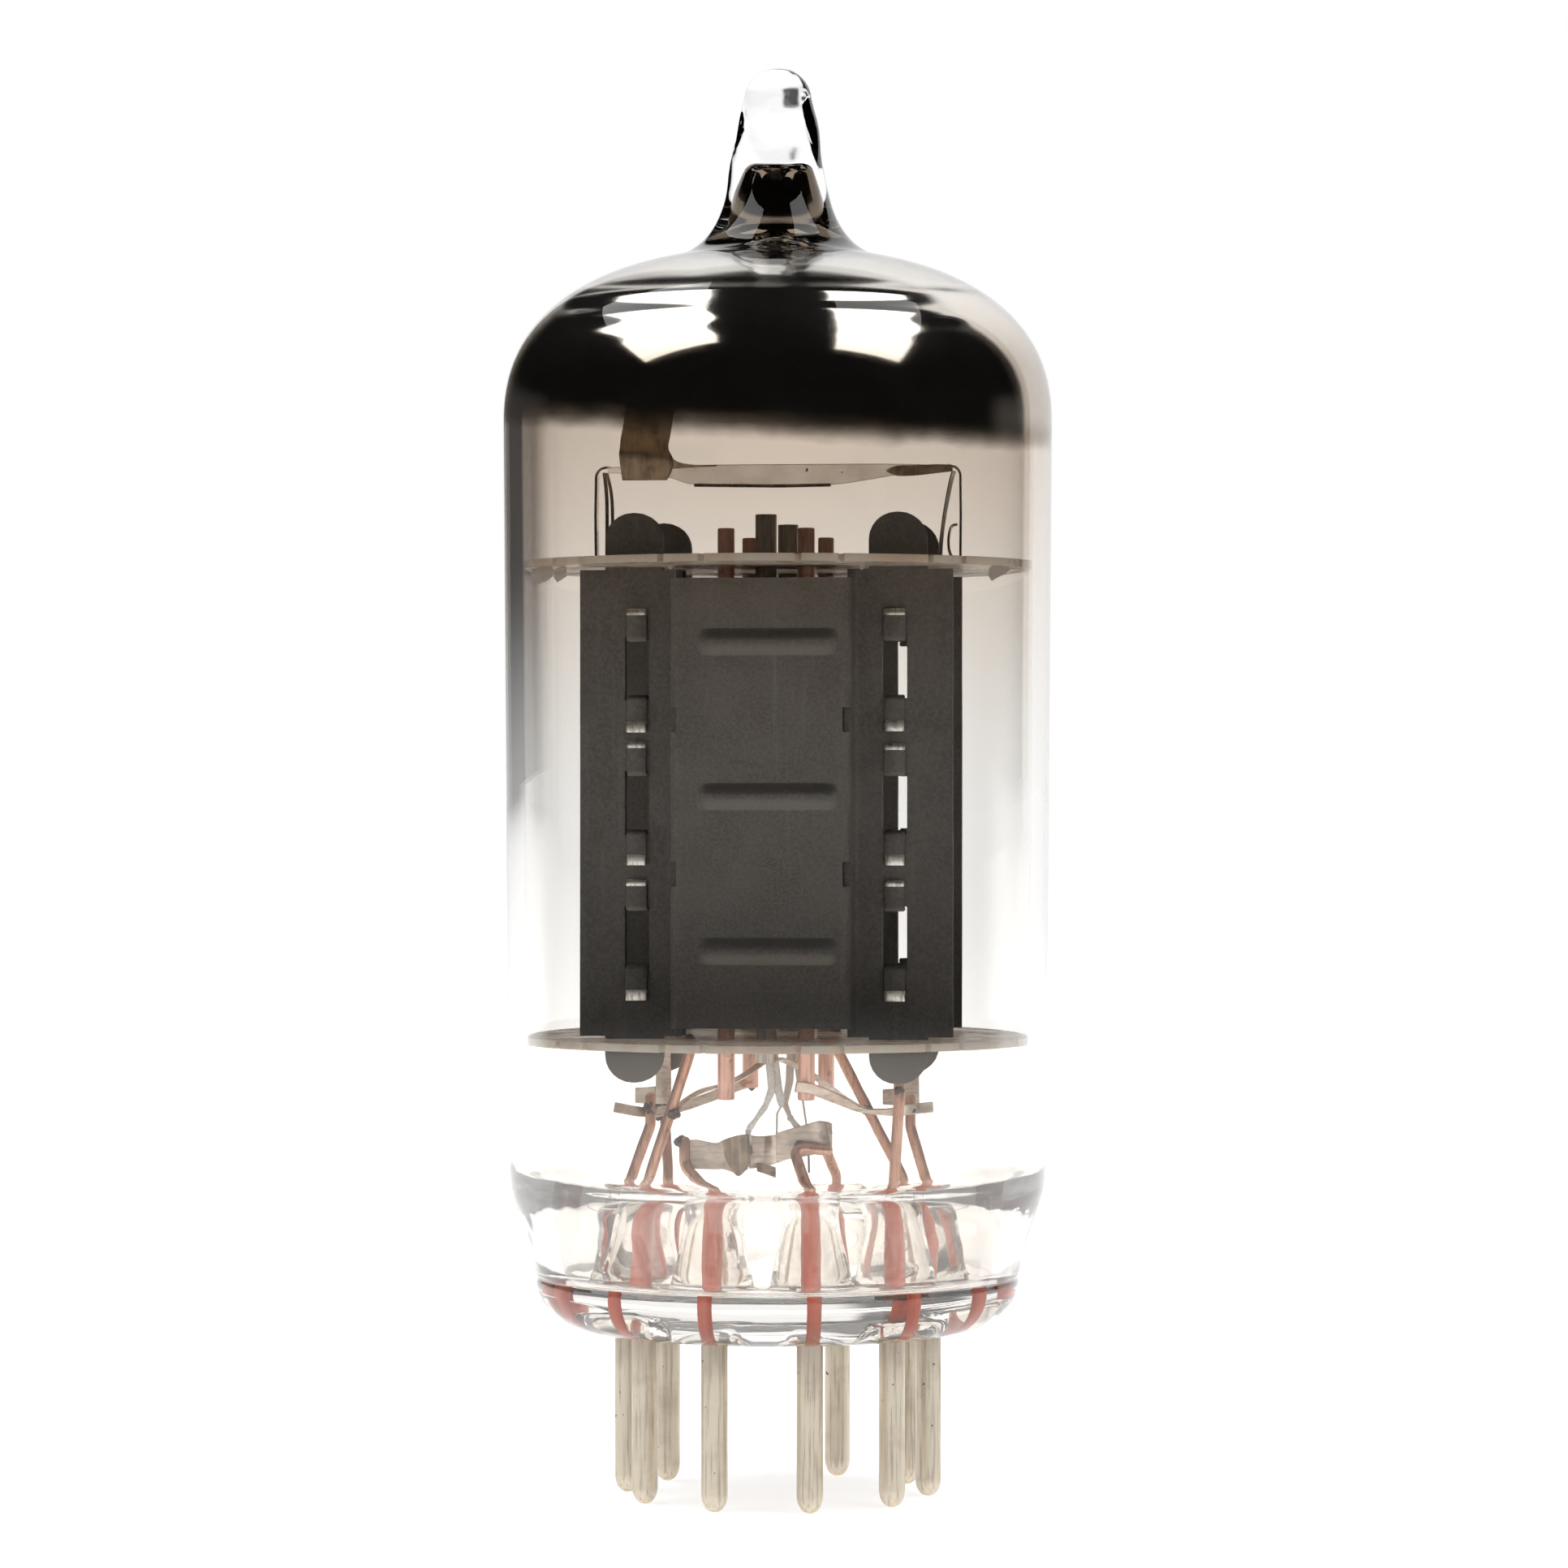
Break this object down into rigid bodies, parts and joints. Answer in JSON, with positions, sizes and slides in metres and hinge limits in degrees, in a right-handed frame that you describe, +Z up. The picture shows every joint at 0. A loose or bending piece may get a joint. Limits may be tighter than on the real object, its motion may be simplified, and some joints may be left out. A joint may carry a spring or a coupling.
{
  "type": "nine-pin miniature twin triode vacuum tube",
  "caption": "Slim glass twin triode vacuum tube with an exhaust tip, dark getter mirror, folded anodes between mica discs and a ring of straight pins; it amplifies small signals.",
  "frame": {"origin": "on the tube's axis, in the plane that the nine pin tips stand on", "axes": "+Z up the tube from the pins to the exhaust tip, -Y out of the front triode's face, +X to the right seen from the front"},
  "size_m": [0.0216, 0.0216, 0.0561],
  "materials": {
    "bulb_glass": "clear fire-polished glass",
    "stem_glass": "clear pressed glass",
    "mirror_film": "dark getter mirror",
    "getter_steel": "satin",
    "nickel": "satin nickel",
    "mica": "punched mica sheet",
    "carbon_anode": "matt carbonised sheet",
    "grid_copper": "bare copper",
    "sleeve_nickel": "satin nickel",
    "heater_coat": "matt white ceramic coat",
    "pin_nickel": "drawn nickel",
    "seal_wire": "oxidised copper-clad seal wire",
    "lead_copper": "bare copper"
  },
  "bodies": {
    "root": {"glass_bulb": "bulb_glass", "stem_base": "stem_glass", "getter_mirror": "mirror_film", "getter_ring": "getter_steel", "getter_post": "getter_steel", "getter_band": "nickel", "mica_top": "mica", "mica_bottom": "mica", "anode_1_outer": "carbon_anode", "anode_1_inner": "carbon_anode", "anode_2_outer": "carbon_anode", "anode_2_inner": "carbon_anode", "grid_1": "grid_copper", "grid_2": "grid_copper", "cathode_1": "sleeve_nickel", "cathode_2": "sleeve_nickel", "heater_1": "heater_coat", "heater_2": "heater_coat", "heater_strip_left": "nickel", "heater_strip_right": "nickel", "heater_strip_common": "nickel", "grid_strap_1": "nickel", "grid_strap_2": "nickel", "cathode_strap_1": "nickel", "cathode_strap_2": "nickel", "anode_tab_1": "nickel", "anode_tab_2": "nickel", "pin_1": "pin_nickel", "pin_2": "pin_nickel", "pin_3": "pin_nickel", "pin_4": "pin_nickel", "pin_5": "pin_nickel", "pin_6": "pin_nickel", "pin_7": "pin_nickel", "pin_8": "pin_nickel", "pin_9": "pin_nickel", "seal_1": "seal_wire", "seal_2": "seal_wire", "seal_3": "seal_wire", "seal_4": "seal_wire", "seal_5": "seal_wire", "seal_6": "seal_wire", "seal_7": "seal_wire", "seal_8": "seal_wire", "seal_9": "seal_wire", "lead_1": "lead_copper", "lead_2": "lead_copper", "lead_3": "lead_copper", "lead_4": "lead_copper", "lead_5": "lead_copper", "lead_6": "lead_copper", "lead_7": "lead_copper", "lead_8": "lead_copper", "lead_9": "lead_copper"}
  },
  "joints": []
}
